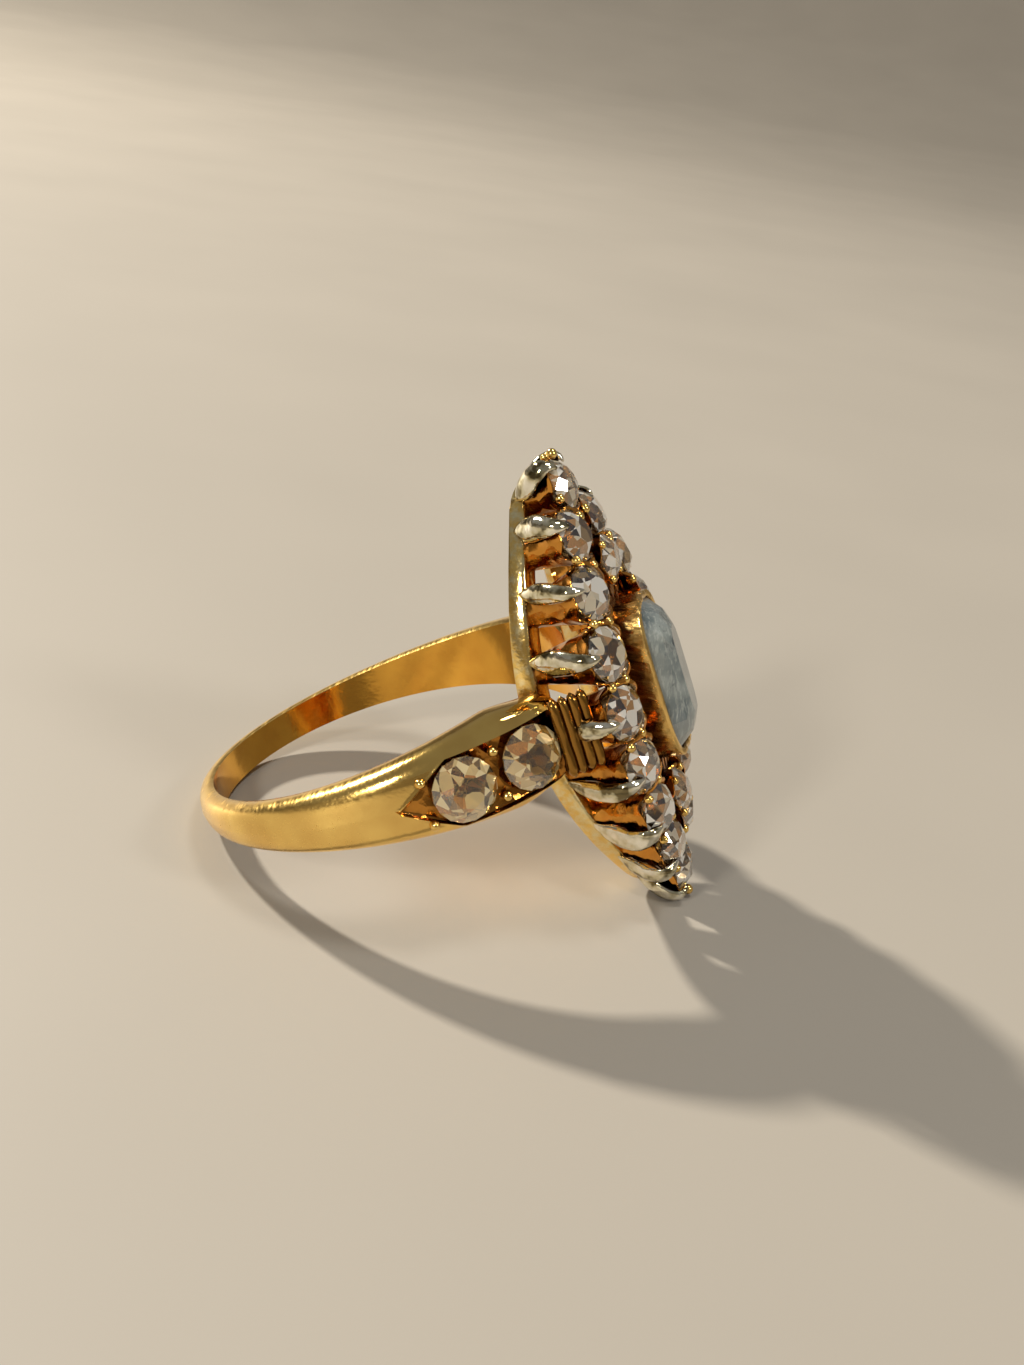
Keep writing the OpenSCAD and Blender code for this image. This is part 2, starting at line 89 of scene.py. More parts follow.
def to_row(p):
    """Ring frame in millimetres to row frame in metres."""
    x, y, z = p[0], p[1], p[2]
    c, s = math.cos(TILT), math.sin(TILT)
    return Vector(((x * c - z * s) * MM, y * MM, (x * s + z * c) * MM))


def nav_point(hl, hw, i, count=COUNT):
    """Point i of count on a navette of two arcs: its y, its z, the angle on its arc and its side."""
    rho = (hl * hl + hw * hw) / (2 * hw)
    step = i if i <= count / 2 else count - i
    side = -1 if i <= count / 2 else 1
    a = math.asin(hl / rho) * (1 - step * 4 / count)
    return side * (rho * math.cos(a) - rho + hw), rho * math.sin(a), a, side


def face_r(l):
    """Radius of the head's domed face at the place l along the finger."""
    return FINGER_R + HEAD_H - TIP_DROP * (abs(l) / (HEAD_L / 2)) ** DOME_POWER


def is_tip(i):
    return i % (COUNT // 2) == 0


def inner_place(s):
    """Girdle centre of the inner stone towards the upper (1) or the lower (-1) tip."""
    return V(face_r(s * INNER_L) + INNER_RISE, 0, s * INNER_L)


def border(i):
    """Girdle centre, axis, outward direction, height, splay in radians and side of collet i."""
    t, l, a, side = nav_point(HEAD_L / 2, HEAD_W / 2, i)
    g = V(face_r(l), t, l)
    ft, fl, _, _ = nav_point(RAIL_L / 2 - FOOT_INSET_L, RAIL_W / 2 - FOOT_INSET_W, i)
    r = FINGER_R + RAIL_T / 2
    f = V(math.sqrt(r * r - ft * ft), ft, fl)
    n = unit(g - f)
    o = V(0, 0, 1 if a > 0 else -1) if is_tip(i) else V(0, side * math.cos(a), math.sin(a))
    x = unit(o - np.dot(o, n) * n)
    splay = math.radians(SPLAY * (1 - (l / (HEAD_L / 2)) ** 2))
    return g, n, x, float(np.linalg.norm(g - f)), splay, side


class Local:
    """Points given in a stone's own frame: x outwards, z along its axis."""

    def __init__(self, p, n, x):
        self.p, self.n, self.x, self.y = p, n, x, np.cross(n, x)

    def __call__(self, x, y, z):
        return self.p + x * self.x + y * self.y + z * self.n


def wobble(p, size, amount, seed=0.0):
    """Small hand-made unevenness."""
    q = Vector((p[0] / size + seed, p[1] / size, p[2] / size))
    n = noise.noise_vector(q)
    return V(*p) + amount * V(n.x, n.y, n.z)


def mesh(name, verts, faces, mat, sharp=40, slot="gold"):
    """An object from points in the ring's frame. Edges over sharp degrees stay sharp.
    Without a slot it is only a tool to cut with."""
    me = bpy.data.meshes.new(name)
    me.from_pydata([to_row(v) for v in verts], [], faces)
    me.validate()
    me.update()
    o = bpy.data.objects.new(name, me)
    bpy.context.scene.collection.objects.link(o)
    me.materials.append(mat)
    for p in me.polygons:
        p.use_smooth = True
    if sharp:
        me.set_sharp_from_angle(angle=math.radians(sharp))
    if slot:
        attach(o, "root")
    return o


def loft(rings, closed=False):
    """Equal rings of points joined into one skin, with flat ends unless the last ring joins the first."""
    n, rows = len(rings[0]), len(rings)
    verts = [p for r in rings for p in r]
    faces = []
    for j in range(rows if closed else rows - 1):
        a, b = j * n, ((j + 1) % rows) * n
        for k in range(n):
            m = (k + 1) % n
            faces.append((a + k, a + m, b + m, b + k))
    if not closed:
        faces.append(tuple(range(n - 1, -1, -1)))
        faces.append(tuple((rows - 1) * n + k for k in range(n)))
    return verts, faces


class Parts:
    """Gathers several closed skins into one mesh."""

    def __init__(self):
        self.verts, self.faces, self.second = [], [], []

    def add(self, verts, faces):
        n = len(self.verts)
        self.verts += [V(*v) for v in verts]
        self.faces += [tuple(n + v for v in f) for f in faces]

    def loft(self, rings, closed=False, split=None):
        """Faces from row split on take the second material."""
        if split is not None:
            n, first = len(rings[0]), len(self.faces)
            self.second += range(first + split * n, first + (len(rings) - (0 if closed else 1)) * n)
        self.add(*loft(rings, closed))

    def ball(self, p, r, seed, rows=8, cols=12):
        """Slightly uneven grain of metal."""
        rings = []
        for j in range(1, rows):
            a = math.pi * j / rows
            rings.append([
                wobble(p + r * V(math.sin(a) * math.cos(b), math.sin(a) * math.sin(b), math.cos(a)),
                       0.3, r * 0.12, seed)
                for b in turns(cols)
            ])
        self.loft(rings[::-1])

    def make(self, name, mat, second=None, **kw):
        o = mesh(name, self.verts, self.faces, mat, **kw)
        if second:
            o.data.materials.append(second)
            for k in self.second:
                o.data.polygons[k].material_index = 1
        return o


def smoothstep(a, b, x):
    """0 up to a, 1 from b on, and a smooth rise between them."""
    t = min(1, max(0, (x - a) / (b - a)))
    return t * t * (3 - 2 * t)


BLACK, WHITE = (0.0, 0.0, 0.0), (1.0, 1.0, 1.0)


def grey(value):
    return (value,) * 3


class Nodes:
    """A material and the means to build it. Sizes of its patterns are in millimetres."""

    def __init__(self, name):
        self.mat = bpy.data.materials.new(name)
        self.mat.use_nodes = True
        self.tree = self.mat.node_tree
        self.shader = self.tree.nodes["Principled BSDF"]
        self.coord = self.tree.nodes.new("ShaderNodeTexCoord").outputs["Object"]

    def new(self, kind, **values):
        n = self.tree.nodes.new(kind)
        for k, v in values.items():
            if k in n.inputs:
                n.inputs[k].default_value = v
            else:
                setattr(n, k, v)
        return n

    def link(self, a, b):
        self.tree.links.new(a, b)

    def stretched(self, along, factor):
        """Object coordinates rolled into the ring's own frame and stretched along one of its axes."""
        m = self.new("ShaderNodeMapping", vector_type="POINT")
        m.inputs["Rotation"].default_value = (0, TILT, 0)
        scale = [1.0, 1.0, 1.0]
        scale["xyz".index(along)] = factor
        m.inputs["Scale"].default_value = scale
        self.link(self.coord, m.inputs["Vector"])
        return m.outputs["Vector"]

    def noise(self, size, detail=3.0, rough=0.5, coord=None, distort=0.0):
        n = self.new("ShaderNodeTexNoise", Scale=1 / (size * MM), Detail=detail, Roughness=rough,
                     Distortion=distort)
        self.link(coord or self.coord, n.inputs["Vector"])
        return n.outputs["Fac"]

    def cells(self, size):
        """Straight-sided cells: Distance from the middle of each, and a Color of its own."""
        n = self.new("ShaderNodeTexVoronoi", Scale=1 / (size * MM))
        self.link(self.coord, n.inputs["Vector"])
        return n.outputs

    def facet_value(self):
        """A value between 0 and 1 that is the same all over one flat facet."""
        c = self.new("ShaderNodeTexCoord").outputs["Normal"]
        snap = self.new("ShaderNodeVectorMath", operation="SNAP")
        snap.inputs[1].default_value = (0.02, 0.02, 0.02)
        self.link(c, snap.inputs[0])
        n = self.new("ShaderNodeTexWhiteNoise")
        self.link(snap.outputs["Vector"], n.inputs["Vector"])
        return n.outputs["Value"]

    def cell_value(self, size):
        """A value between 0 and 1 that is the same all over one cell."""
        cells = self.cells(size)
        parts = self.new("ShaderNodeSeparateColor")
        self.link(cells["Color"], parts.inputs["Color"])
        return parts.outputs["Red"]

    def maths(self, kind, a, b=0.0):
        n = self.new("ShaderNodeMath", operation=kind)
        for i, v in enumerate((a, b)):
            if isinstance(v, (int, float)):
                n.inputs[i].default_value = v
            else:
                self.link(v, n.inputs[i])
        return n.outputs["Value"]

    def towards_head(self, start, end):
        """0 to 1 between two places, in millimetres, on the ring's own x axis."""
        parts = self.new("ShaderNodeSeparateXYZ")
        self.link(self.stretched("x", 1.0), parts.inputs["Vector"])
        r = self.new("ShaderNodeMapRange", interpolation_type="SMOOTHSTEP")
        r.inputs["From Min"].default_value = start * MM
        r.inputs["From Max"].default_value = end * MM
        self.link(parts.outputs["X"], r.inputs["Value"])
        return r.outputs["Result"]

    def ramp(self, fac, stops, steps=False):
        r = self.new("ShaderNodeValToRGB")
        r.color_ramp.interpolation = "CONSTANT" if steps else "LINEAR"
        e = r.color_ramp.elements
        while len(e) < len(stops):
            e.new(0.5)
        for i, (pos, col) in enumerate(stops):
            e[i].position = pos
            e[i].color = (*col, 1)
        self.link(fac, r.inputs["Fac"])
        return r.outputs["Color"]

    def fade(self, fac, start, end):
        """Black up to start, white from end on."""
        return self.ramp(fac, [(start, BLACK), (end, WHITE)])

    def mix(self, fac, a, b):
        m = self.new("ShaderNodeMix", data_type="RGBA")
        # sockets of a colour mix: factor, first colour, second colour
        for i, v in ((0, fac), (6, a), (7, b)):
            if isinstance(v, (int, float)):
                m.inputs[i].default_value = v
            elif isinstance(v, tuple):
                m.inputs[i].default_value = (*v, 1)
            else:
                self.link(v, m.inputs[i])
        return m.outputs[2]

    def ao(self, size):
        """Dark in hollows up to that size."""
        n = self.new("ShaderNodeAmbientOcclusion", samples=8)
        n.inputs["Distance"].default_value = size * MM
        return n.outputs["AO"]

    def bumps(self, layers):
        """layers: (height, strength, distance in mm)."""
        last = None
        for height, strength, distance in layers:
            b = self.new("ShaderNodeBump", Strength=strength, Distance=distance * MM)
            self.link(height, b.inputs["Height"])
            if last:
                self.link(last, b.inputs["Normal"])
            last = b.outputs["Normal"]
        self.link(last, self.shader.inputs["Normal"])


# Colours of old silver, from its darkest stains to where it is rubbed
SILVER_WEAR = [(0.4, (0.2, 0.16, 0.08)), (0.47, (0.66, 0.6, 0.4)), (0.62, (0.95, 0.91, 0.78))]

# Painted reflections on a stone's facets, in steps: where each tone starts, its colour, and how clear it is
PAINTED_FACET_REFLECTIONS = [(0.0, (1.0, 0.92, 0.74), 1.0), (0.26, (1.0, 0.88, 0.64), 0.6), (0.44, (1.0, 0.5, 0.15), 0.75),
          (0.58, (1.0, 0.96, 0.86), 0.45), (0.76, (0.85, 0.58, 0.26), 0.85), (0.88, (1.0, 0.96, 0.86), 1.0)]


def gold(name, bright=(0.98, 0.67, 0.2), deep=(0.46, 0.19, 0.03), rough=(0.1, 0.22), grain=None,
         dirt_and_shade=0.7, dirt_and_shade_size=0.5, worn=None, bump=0.2, beaten=0.0, polish=None):
    """Old gold, bright where it is rubbed and deep in its hollows, from dirt and painted shade.
    grain: the axis that its scratches run along, and their stretch; dirt_and_shade, dirt_and_shade_size: how
    much of the deep colour the hollows take as dirt and painted shade, and how wide they are; worn: colour
    and size of pale patches;
    beaten: height of hammered cells; polish: where it grows smooth, from and to on the ring's x axis."""
    m = Nodes(name)
    s = m.shader.inputs
    s["Metallic"].default_value = 1
    darker = tuple(0.75 * b + 0.25 * d for b, d in zip(bright, deep))
    colour = m.mix(m.fade(m.noise(1.6, 4), 0.35, 0.65), bright, darker)
    if worn:
        patch = m.fade(m.noise(worn[1], 5, 0.65), 0.42, 0.66)
        colour = m.mix(patch, colour, worn[0])
    # Painted shade along with dirt: the hollows, found by ambient occlusion, take the deep colour.
    shade = m.fade(m.ao(dirt_and_shade_size), 0.25, 0.85)
    colour = m.mix(shade, m.mix(dirt_and_shade, colour, deep), colour)
    m.link(colour, s["Base Color"])
    fine = m.noise(0.12, 4, 0.6, coord=m.stretched(*grain) if grain else None)
    dull = m.ramp(fine, [(0.3, grey(rough[0])), (0.7, grey(rough[1]))])
    m.link(m.mix(m.towards_head(*polish), dull, grey(0.05)) if polish else dull, s["Roughness"])
    layers = [(m.noise(0.7, 3), bump, 0.05), (fine, bump, 0.012)]
    if beaten:
        layers.append((m.cells(0.7)["Distance"], beaten, 0.16))
    m.bumps(layers)
    return m.mat


def silver():
    """Old silver: bright where it is rubbed, brown in the hollows from tarnish and painted shade."""
    m = Nodes("silver_claw")
    s = m.shader.inputs
    s["Metallic"].default_value = 1
    worn = m.ramp(m.noise(0.9, 3, 0.5), SILVER_WEAR)
    # Painted shade along with tarnish: the hollows, found by ambient occlusion, turn dark brown.
    shade = m.fade(m.ao(0.4), 0.3, 0.8)
    m.link(m.mix(shade, m.mix(0.85, worn, (0.15, 0.09, 0.03)), worn), s["Base Color"])
    m.link(m.ramp(m.noise(0.2, 3), [(0.3, grey(0.05)), (0.7, grey(0.14))]), s["Roughness"])
    m.bumps([(m.noise(0.55, 2), 0.7, 0.09), (m.noise(0.12, 3), 0.2, 0.012)])
    return m.mat


def diamond(name, cast=(1.0, 1.0, 1.0)):
    """Old cut stone: clear, with facets that each have their own tone, as they send back other parts of
    the room. cast: the colour that the metal round the stone lends to all of them."""
    m = Nodes(name)
    s = m.shader.inputs
    s["IOR"].default_value = 1.7
    s["Roughness"].default_value = 0.0
    s["Coat Weight"].default_value = 1.0
    s["Coat IOR"].default_value = 2.2
    s["Coat Roughness"].default_value = 0.02
    # Each facet takes a painted reflection: a tone of its own from the table, tinted by the colour that the
    # metal lends.
    facet = m.maths("FRACT", m.maths("ADD", m.facet_value(), m.cell_value(0.6)))
    tones = [(at, tuple(t * c for t, c in zip(tone, cast))) for at, tone, _ in PAINTED_FACET_REFLECTIONS]
    m.link(m.ramp(facet, tones, steps=True), s["Base Color"])
    clearness = [(at, grey(clear)) for at, _, clear in PAINTED_FACET_REFLECTIONS]
    m.link(m.ramp(facet, clearness, steps=True), s["Transmission Weight"])
    return m.mat


def sapphire():
    """Grey-blue stone with silky streaks along its length and a few feathers."""
    m = Nodes("grey_blue_sapphire")
    s = m.shader.inputs
    s["IOR"].default_value = 1.77
    s["Roughness"].default_value = 0.06
    s["Transmission Weight"].default_value = 0.2
    s["Coat Weight"].default_value = 0.5
    s["Coat Roughness"].default_value = 0.03
    body = m.mix(m.fade(m.noise(1.6, 4), 0.4, 0.6), (0.12, 0.15, 0.155), (0.3, 0.335, 0.315))
    silk = m.noise(0.16, 5, 0.65, coord=m.stretched("z", 0.07), distort=0.15)
    body = m.mix(m.ramp(silk, [(0.5, BLACK), (0.62, grey(0.45))]), body, (0.58, 0.6, 0.54))
    feathers = m.noise(0.5, 4, 0.6, coord=m.stretched("z", 0.5), distort=1.2)
    body = m.mix(m.ramp(feathers, [(0.3, grey(0.85)), (0.38, BLACK)]), body, (0.05, 0.06, 0.07))
    # Each facet is paler by an amount of its own: painted reflections.
    body = m.mix(m.ramp(m.facet_value(), [(0.0, BLACK), (1.0, grey(0.45))]), body, (0.32, 0.33, 0.3))
    m.link(body, s["Base Color"])
    m.bumps([(m.noise(0.25, 3), 0.05, 0.02)])
    return m.mat


FLOOR_DARK, FLOOR_LIGHT = (0.272, 0.246, 0.208), (0.31, 0.28, 0.237)


def floor_finish():
    m = Nodes("pale_floor")
    s = m.shader.inputs
    m.link(m.mix(m.noise(30, 2), FLOOR_DARK, FLOOR_LIGHT), s["Base Color"])
    s["Roughness"].default_value = 0.6
    return m.mat


def make_materials():
    return {
        "satin": gold("gold_satin", rough=(0.12, 0.3), grain=("y", 0.1), dirt_and_shade=0.5, bump=0.3,
                      polish=(1.0, 6.5)),
        "gold": gold("gold_polished"),
        # Deeper orange than the outside: painted reflection of the gold across the finger hole.
        "inside": gold("gold_inside", bright=(0.93, 0.5, 0.08), deep=(0.42, 0.13, 0.015),
                       rough=(0.05, 0.15), dirt_and_shade=0.6),
        # A darker copy of the gold, near black in its hollows: painted shade on the collets, in the shank's
        # channels and on the top plate.
        "collet": gold("gold_collet", bright=(0.76, 0.34, 0.06), deep=(0.1, 0.025, 0.004),
                       rough=(0.03, 0.1), dirt_and_shade=0.93, dirt_and_shade_size=1.1, bump=0.8, beaten=0.9),
        # Paler than the gold outside: painted light inside the collets, where the stones above keep it in
        # shade.
        "lining": gold("gold_lining", bright=(0.97, 0.86, 0.68), deep=(0.8, 0.5, 0.22),
                       rough=(0.05, 0.15), dirt_and_shade=0.25),
        "rail": gold("gold_rail", worn=((0.9, 0.79, 0.46), 0.4), rough=(0.07, 0.18), dirt_and_shade=0.85, bump=0.6),
        "bezel": gold("gold_bezel", bright=(0.95, 0.64, 0.22), deep=(0.22, 0.09, 0.015),
                      grain=("x", 0.12), rough=(0.1, 0.28), dirt_and_shade=0.85, dirt_and_shade_size=0.8, bump=0.5),
        "ridge": gold("gold_ridge", bright=(0.4, 0.2, 0.04), deep=(0.05, 0.016, 0.004), dirt_and_shade=0.97,
                      dirt_and_shade_size=0.7),
        "silver": silver(),
        "diamond": diamond("old_cut_diamond"),
        "sunk_diamond": diamond("sunk_diamond", cast=(1.0, 0.84, 0.5)),
        "sapphire": sapphire(),
        "floor": floor_finish(),
    }


MAT = make_materials()

# Shank: a D section that opens towards the head, with a pointed channel sunk in each shoulder.
# Its outer circle lies off the finger hole's centre. The stones of a shoulder stand on a flatter arc.
OUTER_R = FINGER_R + (BACK_T + SHOULDER_T) / 2
OUTER_X = (SHOULDER_T - BACK_T) / 2
ARC_R = FINGER_R + ARC_H + ARC_FLAT
PITCH = 2 * math.degrees(math.asin((SHOULDER_STONE_D + SHOULDER_GAP) / 2 / ARC_R))
REACH = ARC_R * math.sin(math.radians(PITCH / 2))
CHANNEL_DEPTH, CHANNEL_POINT, CHANNEL_STRAIGHT, CHANNEL_DROP = 0.3, 2.7, 0.4, 0.15
CHANNEL_HALF = SHOULDER_STONE_D / 2 + 0.1
# Half width under which there is no channel, its corner between floor and wall, and the lip at its edge
NO_CHANNEL, CHANNEL_CORNER, CHANNEL_LIP = 0.02, 0.04, 0.015
# Degrees from the head at which the shank starts, x of its top, the length over which it narrows to
# there, and its width there, which is also the length of the ridges
SHANK_START, SHANK_TOP, SHANK_NECK, RIDGE_L = 27.6, 9.35, 2.0, 3.4
# Half sections, from the inner edge to the crest: share of the thickness, share of the half width.
# Steps between those points, and the bevel of the inner corner as a share of the thickness.
BACK_SECTION = [(0.0, 1.0), (0.45, 1.0), (0.76, 0.84), (0.94, 0.48), (1.0, 0.0)]
SHOULDER_SECTION = [(0.0, 1.0), (0.58, 1.0), (0.84, 0.88), (0.95, 0.68), (1.0, 0.0)]
SECTION_STEPS = (4, 5, 6, 8)
INNER_CORNER = 0.07


def shoulder_frame(side, turn):
    """Local frame on a shoulder's flatter arc, turned towards the head by turn degrees."""
    a = math.radians(side * ARC_ANGLE)
    b = math.radians(side * (ARC_ANGLE - turn))
    n = V(math.cos(b), math.sin(b), 0)
    p = -ARC_FLAT * V(math.cos(a), math.sin(a), 0) + ARC_R * n - V(0, 0, CHANNEL_DROP)
    return Local(p, n, V(0, 0, 1))


def outer_r(phi):
    """Radius of the shank's outer circle at an angle from the head."""
    return OUTER_X * math.cos(phi) + math.sqrt(OUTER_R ** 2 - (OUTER_X * math.sin(phi)) ** 2)


def half_w(phi):
    """Half width of the shank, which narrows again at the ridges."""
    x = outer_r(phi) * math.cos(phi)
    w = (BACK_W + (SHOULDER_W - BACK_W) * min(1, max(0, (1 + x / OUTER_R) / 2)) ** 1.5) / 2
    return w + (RIDGE_L / 2 - w) * smoothstep(SHANK_TOP - SHANK_NECK, SHANK_TOP + 0.3, x)


def section(phi):
    """Half section from the inner edge to the crest: (radius, z)."""
    s = (1 + math.cos(phi)) / 2
    t, hw = outer_r(phi) - FINGER_R, half_w(phi)
    knots = [((1 - s) * a[0] + s * b[0], (1 - s) * a[1] + s * b[1])
             for a, b in zip(BACK_SECTION, SHOULDER_SECTION)]
    pts = []
    for (a, b), n in zip(zip(knots, knots[1:]), SECTION_STEPS):
        for k in range(n):
            pts.append(((a[0] + (b[0] - a[0]) * k / n) * t, (a[1] + (b[1] - a[1]) * k / n)))
    pts.append((t, 0.0))
    pts[0] = (INNER_CORNER * t, 1.0)
    pts.insert(0, (0.0, 1 - INNER_CORNER * t / hw))
    # the worn back is rounder than the shoulders
    soft = 2 + int(10 * (1 - s) ** 0.8)
    for _ in range(soft):
        pts = [pts[0]] + [
            tuple(0.5 * q + 0.25 * (p + r) for p, q, r in zip(*c)) for c in zip(pts, pts[1:], pts[2:])
        ] + [pts[-1]]
    pts[-1] = (pts[-2][0] * 0.5 + t * 0.5, 0.0)
    return [(FINGER_R + p[0], p[1] * hw) for p in pts]


def channel_at(phi):
    """Half width of the channel and the radius of its floor at that angle."""
    d = abs(math.degrees(phi)) - ARC_ANGLE
    rf = ARC_R - CHANNEL_DEPTH
    dr = math.radians(d)
    r = -ARC_FLAT * math.cos(dr) + math.sqrt(rf ** 2 - (ARC_FLAT * math.sin(dr)) ** 2)
    along = ARC_R * math.asin(r * math.sin(dr) / ARC_R) + REACH
    point, straight = REACH + CHANNEL_POINT, REACH + CHANNEL_STRAIGHT
    if along > point:
        return 0.0, r
    w = CHANNEL_HALF
    if along > straight:
        w *= (point - along) / (point - straight)
    return w, r


def signed(phi):
    """The same angle, within half a turn of the head."""
    return phi if phi < math.pi else phi - 2 * math.pi


# Points of a section from its inner edge to the channel, and those of the channel's wall after them
PATH_N, GROOVE_N = 26, 6


def shank_ring(phi):
    """One closed section. The channel lies a little below the middle of the width."""
    half = section(phi)
    g, floor = channel_at(signed(phi))
    drop = CHANNEL_DROP if g else 0.0
    rs, zs = zip(*half[::-1])

    def crest(z):
        return float(np.interp(abs(z), zs, rs))

    def one_side(sign):
        edge = max(g, NO_CHANNEL) - sign * drop
        lip_r = crest(edge)
        if g > NO_CHANNEL and floor < lip_r - 0.01:
            groove = [(floor, 0.5 * edge), (floor, edge - 0.12),
                      (floor + CHANNEL_CORNER, edge - CHANNEL_CORNER), (lip_r - CHANNEL_CORNER, edge),
                      (lip_r + CHANNEL_LIP, edge + 0.03), (crest(edge + 0.09) + CHANNEL_LIP, edge + 0.09)]
        else:
            groove = [(crest(edge * q), edge * q) for q in (0.5, 0.9, 0.95, 1.0, 1.02, 1.1)]
        last = groove[-1][1]
        path = [q for q in half if q[1] > last + 0.05 or q[0] < FINGER_R + 0.3]
        path.append((crest(last + 0.03), last + 0.03))
        seg = [0.0]
        for a, b in zip(path, path[1:]):
            seg.append(seg[-1] + math.hypot(a[0] - b[0], a[1] - b[1]))
        u = [seg[-1] * k / (PATH_N - 1) for k in range(PATH_N)]
        path = list(zip(np.interp(u, seg, [q[0] for q in path]), np.interp(u, seg, [q[1] for q in path])))
        side = [(FINGER_R, 0.6 * path[0][1])] + path + groove[::-1]
        return [(r, sign * z) for r, z in side]

    middle = (floor, -drop) if g > NO_CHANNEL and floor < crest(0) - 0.01 else (crest(0), 0.0)
    ring = [(FINGER_R, 0.0)] + one_side(1) + [middle] + one_side(-1)[::-1]
    return [V(r * math.cos(phi), r * math.sin(phi), z) for r, z in ring]


def in_channel(k):
    """Whether face k round a section lies in the channel, where there is one."""
    return min(k, 2 * (PATH_N + GROOVE_N + 2) - k - 1) >= PATH_N + 4


SHANK_STEPS, SHANK_SHARP = 260, 30
# Materials of the shank, in the order of its slots
OUTSIDE, CHANNEL, INSIDE = 0, 1, 2
SEAT_CLEARANCE = 0.04


def make_shank():
    start = math.radians(SHANK_START)
    phis = [start + (2 * math.pi - 2 * start) * k / SHANK_STEPS for k in range(SHANK_STEPS + 1)]
    rings = [shank_ring(phi) for phi in phis]
    verts, faces = loft(rings)
    o = mesh("gold_shank", verts, faces, MAT["satin"], sharp=SHANK_SHARP)
    o.data.materials.append(MAT["collet"])
    o.data.materials.append(MAT["inside"])
    n = len(rings[0])
    for row, phi in enumerate(phis[:-1]):
        sunk = channel_at(signed(phi))[0] > NO_CHANNEL
        for k in range(n):
            inner = min(k, n - 1 - k) < 2
            part = INSIDE if inner else CHANNEL if sunk and in_channel(k) else OUTSIDE
            o.data.polygons[row * n + k].material_index = part
    cut_seats(o)
    return o


def cut_seats(o):
    """Sinks a seat into the shank for each shoulder stone."""
    r = SHOULDER_STONE_D / 2
    wide = r + SEAT_CLEARANCE
    # radius, height above the girdle
    profile = [(0.2, -1.2), (r * 0.5, -0.8), (r - 0.12, -0.2), (wide, -0.1), (wide, 0.6)]
    cutter = Parts()
    for side in (-1, 1):
        for turn in (0, PITCH):
            at = shoulder_frame(side, turn)
            cutter.loft([[at(q * math.cos(a), q * math.sin(a), z) for a in turns(48)] for q, z in profile])
    c = mesh("seats", cutter.verts, cutter.faces, MAT["collet"], slot=None)
    b = o.modifiers.new("seats", "BOOLEAN")
    b.object, b.operation, b.solver = c, "DIFFERENCE", "EXACT"
    b.material_mode = "TRANSFER"
    dg = bpy.context.evaluated_depsgraph_get()
    new = bpy.data.meshes.new_from_object(o.evaluated_get(dg))
    o.modifiers.clear()
    o.data = new
    bpy.data.objects.remove(c)
    new.set_sharp_from_angle(angle=math.radians(SHANK_SHARP))


# Section of the rail's wire: share of its width from inside, share of its thickness from the finger
RAIL_SECTION = [(0.12, 0.0), (0.88, 0.0), (0.97, 0.05), (1.0, 0.16), (1.0, 0.84), (0.97, 0.95), (0.88, 1.0),
                (0.5, 1.0), (0.12, 1.0), (0.03, 0.95), (0.0, 0.84), (0.0, 0.16), (0.03, 0.05)]
RAIL_STEPS = 224
# The wire is wider at the head's tips by this factor, and rises off the finger over this length.
RAIL_TIP_SHARE, PROW_L, PROW_RISE = 1.6, 1.3, 0.85
# It stays this far inside its CAD size, so that its unevenness doesn't leave that.
RAIL_SKIN = 0.01


def make_rail():
    rings = []
    for k in range(RAIL_STEPS):
        outer = nav_point(RAIL_L / 2, RAIL_W / 2, k, RAIL_STEPS)
        inner = nav_point(RAIL_L / 2 - RAIL_WIRE * RAIL_TIP_SHARE, RAIL_W / 2 - RAIL_WIRE, k, RAIL_STEPS)
        ring = []
        for u, v in RAIL_SECTION:
            t = inner[0] + (outer[0] - inner[0]) * u
            l = inner[1] + (outer[1] - inner[1]) * u
            prow = min(1, max(0, (abs(l) - (RAIL_L / 2 - PROW_L)) / PROW_L))
            v = max(v, 1 - math.sqrt(1 - PROW_RISE * prow ** 2))
            r = FINGER_R + RAIL_SKIN + (RAIL_T - 2 * RAIL_SKIN) * v
            p = V(math.sqrt(r * r - t * t), t, l)
            ring.append(wobble(p, 0.9, 0.018 if v > 0.1 else 0.006, 3.0))
        rings.append(ring)
    parts = Parts()
    parts.loft(rings, closed=True)
    return parts.make("gold_base_rail", MAT["rail"], sharp=50)


# Rows of a collet from foot to rim, its flare, and how much its foot is out of round
COLLET_ROWS, FLARE, FOOT_LOBES = 14, 1.25, 0.03
# Its rim: height above the girdle, depth of the scoop between two claws, cosines of the angle from a
# claw between which the scoop fades out, and height of the rounded lip
RIM_UP, SCOOP, SCOOP_FROM, SCOOP_TO, LIP = 0.04, 0.42, 0.55, 0.95, 0.03
# Height over which the stone sits in it, and the stone's clearance there
SEAT_FROM, COLLET_CLEARANCE = -0.2, 0.03
# Angles of its claws, from its outer side
BORDER_CLAWS, TIP_CLAWS, INNER_CLAWS = (0.0, 2.1, -2.1), (0.9, -0.9, math.pi), (0.8, 2.35, -0.8, -2.35)
INNER_COLLET_H, INNER_FOOT_R = 1.35, 0.7


